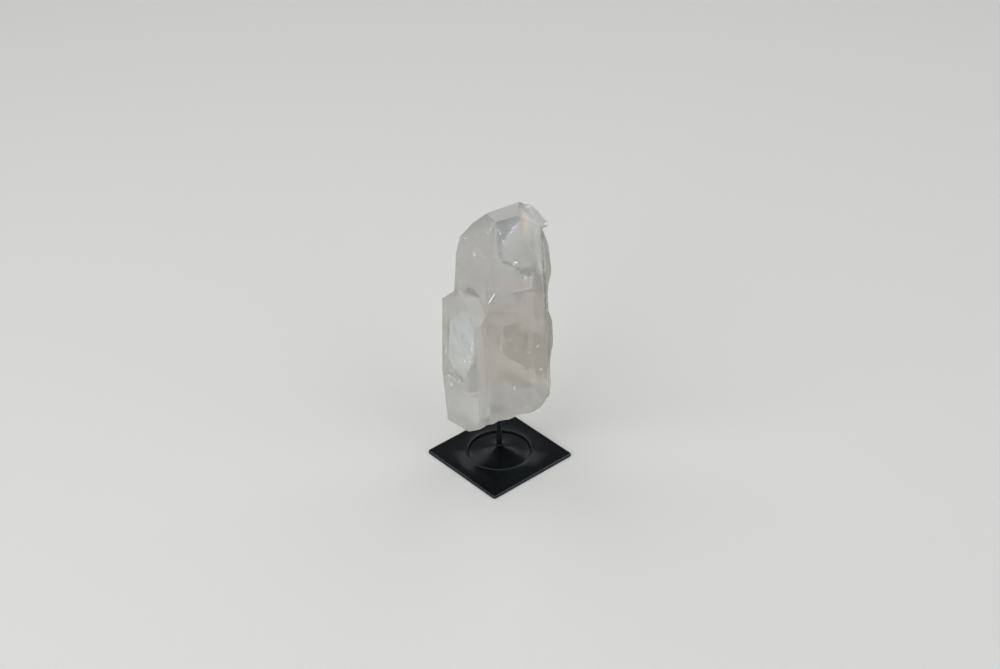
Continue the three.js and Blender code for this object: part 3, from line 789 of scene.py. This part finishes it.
def build_plate():
    """Rings of points from the underside's rim, over the pressed face, and down into the socket."""
    outline = rounded_square(PLATE_SIDE, PLATE_CORNER)
    edge_round = 0.9 * MM
    bead_foot = (LIP_RADIUS + 0.45 * MM, LIP_HEIGHT - 0.28 * MM)

    def square(inset, z):
        share = 1 - inset / (PLATE_SIDE / 2)
        return [(p.x * share, p.y * share, z) for p in outline]

    def circle(radius, z):
        return [(p.x / p.length * radius, p.y / p.length * radius, z) for p in outline]

    def flank(t):
        outer, inner = square(edge_round, 0), circle(bead_foot[0], 0)
        z = PLATE_TOP + (bead_foot[1] - PLATE_TOP) * t ** 2.4
        return [(a[0] + (b[0] - a[0]) * t, a[1] + (b[1] - a[1]) * t, z) for a, b in zip(outer, inner)]

    rings = [square(0, 0)]
    for i in range(RIM_STEPS + 1):
        angle = math.pi / 2 * i / RIM_STEPS
        inset = edge_round * (1 - math.cos(angle))
        rings.append(square(inset, PLATE_TOP - edge_round * (1 - math.sin(angle))))
    rings += [flank(i / FLANK_STEPS) for i in range(1, FLANK_STEPS + 1)]
    lip = [(LIP_RADIUS + 0.25 * MM, LIP_HEIGHT - 0.1 * MM), (LIP_RADIUS, LIP_HEIGHT),
           (LIP_RADIUS - 0.4 * MM, LIP_HEIGHT - 0.06 * MM), (LIP_RADIUS - 0.9 * MM, LIP_HEIGHT - 0.35 * MM)]
    groove = [(LIP_RADIUS - 1.1 * MM, GROOVE_FLOOR + 0.3 * MM), (LIP_RADIUS - 1.25 * MM, GROOVE_FLOOR),
              (LIP_RADIUS - 1.7 * MM, GROOVE_FLOOR + 0.08 * MM)]
    cone = [(LIP_RADIUS - 2.2 * MM, GROOVE_FLOOR + 0.5 * MM), (LIP_RADIUS / 2, GROOVE_FLOOR + 2.4 * MM),
            (6 * MM, CONE_HEIGHT - 1.1 * MM), (ROD_RADIUS + 1.4 * MM, CONE_HEIGHT - 0.1 * MM)]
    rings += [circle(radius, z) for radius, z in smooth_line(lip + groove + cone, LIP_STEPS)]
    rings += [circle(ROD_RADIUS + FIT_GAP, CONE_HEIGHT), circle(ROD_RADIUS + FIT_GAP, SOCKET_FLOOR)]
    bm = bmesh.new()
    rows = [[bm.verts.new(point) for point in ring] for ring in rings]
    count = len(outline)
    for low, high in zip(rows, rows[1:]):
        for i in range(count):
            j = (i + 1) % count
            bm.faces.new((low[i], low[j], high[j], high[i]))
    bm.faces.new(list(reversed(rows[0])))
    bm.faces.new(rows[-1])
    plate = mesh_object("plate", bm, ENAMEL, smooth=True)
    # Its rim and the outer side of the ring's crest are rubbed bright.
    plate.data.materials.append(POLISHED)
    rim_end = RIM_STEPS + 1
    crest = range(rim_end + FLANK_STEPS, rim_end + FLANK_STEPS + LIP_STEPS)
    for face in plate.data.polygons:
        row = face.index // count
        face.material_index = int(row < rim_end or row in crest)
    plate.data.set_sharp_from_angle(angle=SHARP_BEND)
    return plate


def lathe(name, profile, material, sides=48):
    """A closed solid of revolution about Z, from (radius, height) points that start and end on the axis."""
    bm = bmesh.new()
    rows = []
    for radius, z in profile:
        if radius == 0:
            rows.append([bm.verts.new((0, 0, z))])
        else:
            turns = [math.tau * i / sides for i in range(sides)]
            circle = [(radius * math.cos(turn), radius * math.sin(turn), z) for turn in turns]
            rows.append([bm.verts.new(point) for point in circle])
    for low, high in zip(rows, rows[1:]):
        for i in range(sides):
            j = (i + 1) % sides
            ring = [low[i % len(low)], low[j % len(low)], high[j % len(high)], high[i % len(high)]]
            bm.faces.new(list(dict.fromkeys(ring)))
    piece = mesh_object(name, bm, material, smooth=True)
    piece.data.set_sharp_from_angle(angle=SHARP_BEND)
    return piece


def build_rod():
    """The rod, with the weld bead where it leaves the plate's cone."""
    low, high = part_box("support_rod")
    seat = CONE_HEIGHT + FIT_GAP
    bead = [(ROD_RADIUS, seat), (2.6 * MM, seat + 0.05 * MM), (2.8 * MM, seat + 0.5 * MM),
            (2.6 * MM, seat + 0.95 * MM), (2.2 * MM, seat + 1.3 * MM), (ROD_RADIUS, seat + 1.8 * MM)]
    profile = [(0, low.z), (ROD_RADIUS, low.z)] + smooth_line(bead, 4)
    profile += [(ROD_RADIUS, high.z - 0.5 * MM), (ROD_RADIUS - 0.5 * MM, high.z), (0, high.z)]
    return lathe("rod", profile, ENAMEL)


plate = build_plate()
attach(plate, "root")
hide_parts("base_plate")
rod = build_rod()
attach(rod, "root")
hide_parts("support_rod")


# --- Studio ---
FLOOR_REACH = 6
LIGHT_AIM = Vector((0, 0, 100 * MM))
CAMERA_BEARING = math.radians(49.91)
CAMERA_RISE = math.radians(34.09)
CAMERA_DISTANCE = 1480.75 * MM
CAMERA_ROLL = math.radians(-1.74)
FOCAL_PIXELS = 2000
IMAGE_SIZE = (1000, 669)
PLATE_MIDDLE_PIXEL = (495.97, 451.68)


def build_floor():
    bm = bmesh.new()
    bmesh.ops.create_grid(bm, x_segments=1, y_segments=1, size=FLOOR_REACH)
    material, _, surface = new_material("floor")
    surface.inputs["Base Color"].default_value = (0.45, 0.45, 0.44, 1)
    surface.inputs["Roughness"].default_value = 0.9
    floor = mesh_object("floor", bm, material)
    floor.location.z = -0.05 * MM


def toward(bearing, rise):
    """The direction at a bearing from -Y toward +X, and so far up, in radians."""
    return Vector((math.sin(bearing) * math.cos(rise), -math.cos(bearing) * math.cos(rise), math.sin(rise)))


def area_light(name, offset, rise, distance, size, power):
    """A soft light on the object, so many degrees to the right of the camera's bearing and so high."""
    place = LIGHT_AIM + toward(CAMERA_BEARING + math.radians(offset), math.radians(rise)) * distance
    light = bpy.data.lights.new(name, "AREA")
    light.shape = "RECTANGLE"
    light.size, light.size_y = size
    light.energy = power
    lamp = bpy.data.objects.new(name, light)
    lamp.location = place
    lamp.rotation_euler = (place - LIGHT_AIM).to_track_quat("Z", "Y").to_euler()
    bpy.context.scene.collection.objects.link(lamp)


def build_camera():
    """A camera that shows the middle of the plate's face at its own pixel of the picture."""
    data = bpy.data.cameras.new("camera")
    data.sensor_width = 36
    data.lens = data.sensor_width * FOCAL_PIXELS / IMAGE_SIZE[0]
    camera = bpy.data.objects.new("camera", data)
    back = toward(CAMERA_BEARING, CAMERA_RISE)
    right = Vector((math.cos(CAMERA_BEARING), math.sin(CAMERA_BEARING), 0))
    up = back.cross(right)
    across = (PLATE_MIDDLE_PIXEL[0] - IMAGE_SIZE[0] / 2) / FOCAL_PIXELS * CAMERA_DISTANCE
    upward = (IMAGE_SIZE[1] / 2 - PLATE_MIDDLE_PIXEL[1]) / FOCAL_PIXELS * CAMERA_DISTANCE
    place = back * CAMERA_DISTANCE - right * across - up * upward + Vector((0, 0, PLATE_TOP))
    axes = Matrix((right, up, back)).transposed().to_4x4()
    camera.matrix_world = Matrix.Translation(place) @ axes @ Matrix.Rotation(CAMERA_ROLL, 4, "Z")
    bpy.context.scene.collection.objects.link(camera)
    bpy.context.scene.camera = camera


def build_world():
    world = bpy.data.worlds.new("studio")
    world.use_nodes = True
    sky = world.node_tree.nodes["Background"]
    sky.inputs["Color"].default_value = (0.95, 0.97, 1, 1)
    sky.inputs["Strength"].default_value = 0.32
    bpy.context.scene.world = world


build_floor()
build_world()
build_camera()
area_light("overhead", offset=90, rise=84, distance=1.8, size=(2.4, 2.4), power=19)
area_light("left_front", offset=-48, rise=34, distance=1.8, size=(1.8, 1.8), power=29)
area_light("right_front", offset=50, rise=30, distance=1.9, size=(1.6, 1.6), power=12)
area_light("back_left", offset=-135, rise=46, distance=1.8, size=(1.4, 1), power=8)
area_light("back_right", offset=135, rise=46, distance=1.8, size=(1.4, 1), power=8)
bpy.context.scene.view_settings.view_transform = "Standard"
cycles = bpy.context.scene.cycles
cycles.transparent_max_bounces = 40
cycles.diffuse_bounces = 6
cycles.glossy_bounces = 8
cycles.transmission_bounces = 16
cycles.max_bounces = 20
